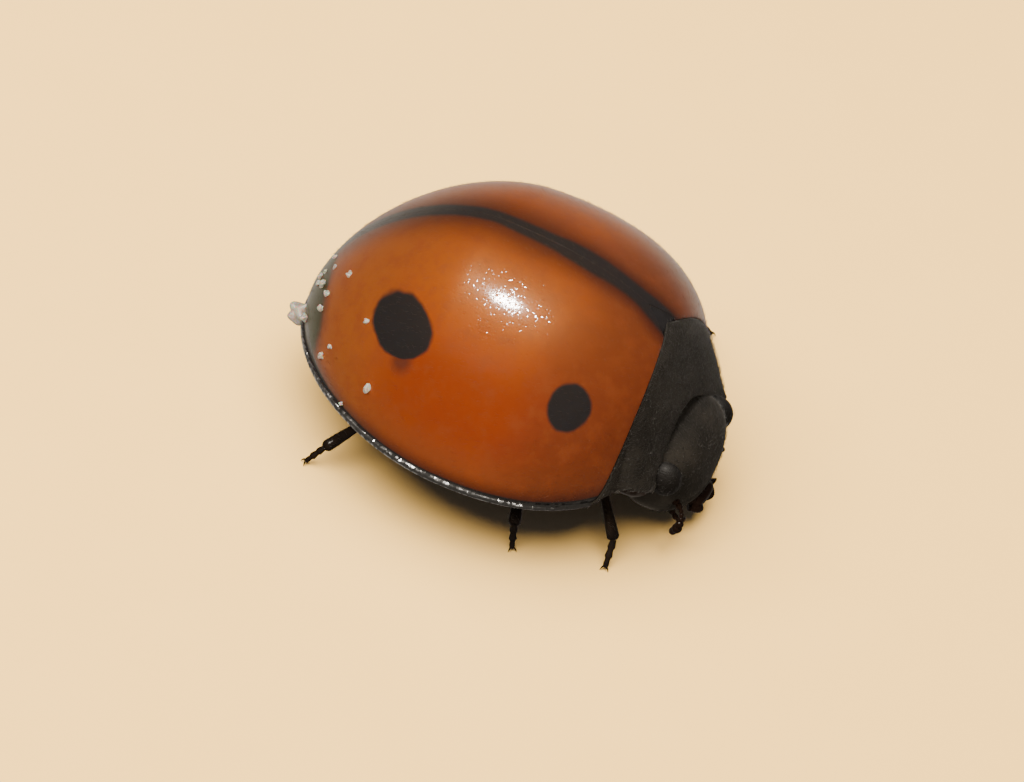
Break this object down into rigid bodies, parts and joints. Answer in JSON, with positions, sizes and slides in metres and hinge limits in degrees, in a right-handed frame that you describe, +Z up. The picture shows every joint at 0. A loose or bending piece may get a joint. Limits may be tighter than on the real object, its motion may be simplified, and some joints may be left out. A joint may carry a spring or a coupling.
{
  "type": "ladybird",
  "caption": "Life-size still model of a small domed ladybird standing with its wing cases closed, amber with black spots, a black seam, tail and fore body.",
  "frame": {"origin": "on the floor under the middle of the model's bounding box", "axes": "+X forward, towards the head; +Y to the beetle's left; +Z up"},
  "size_m": [0.0044, 0.0044, 0.0025],
  "materials": {
    "elytron_chitin": "glossy, slightly translucent amber",
    "pronotum_chitin": "dull black with fine pale down",
    "sternite_chitin": "dull brown-black",
    "leg_chitin": "satin black",
    "eye_facets": "glossy black",
    "feeler_chitin": "satin dark brown"
  },
  "bodies": {
    "root": {"abdomen": "sternite_chitin", "antenna_left": "feeler_chitin", "antenna_right": "feeler_chitin", "elytron_left": "elytron_chitin", "elytron_right": "elytron_chitin", "eye_left": "eye_facets", "eye_right": "eye_facets", "femur_fore_left": "leg_chitin", "femur_fore_right": "leg_chitin", "femur_hind_left": "leg_chitin", "femur_hind_right": "leg_chitin", "femur_mid_left": "leg_chitin", "femur_mid_right": "leg_chitin", "head": "pronotum_chitin", "labrum": "feeler_chitin", "palp_left": "feeler_chitin", "palp_right": "feeler_chitin", "pronotum": "pronotum_chitin", "scutellum": "pronotum_chitin", "tarsus_fore_left": "leg_chitin", "tarsus_fore_right": "leg_chitin", "tarsus_hind_left": "leg_chitin", "tarsus_hind_right": "leg_chitin", "tarsus_mid_left": "leg_chitin", "tarsus_mid_right": "leg_chitin", "thorax": "sternite_chitin", "tibia_fore_left": "leg_chitin", "tibia_fore_right": "leg_chitin", "tibia_hind_left": "leg_chitin", "tibia_hind_right": "leg_chitin", "tibia_mid_left": "leg_chitin", "tibia_mid_right": "leg_chitin"}
  },
  "joints": []
}
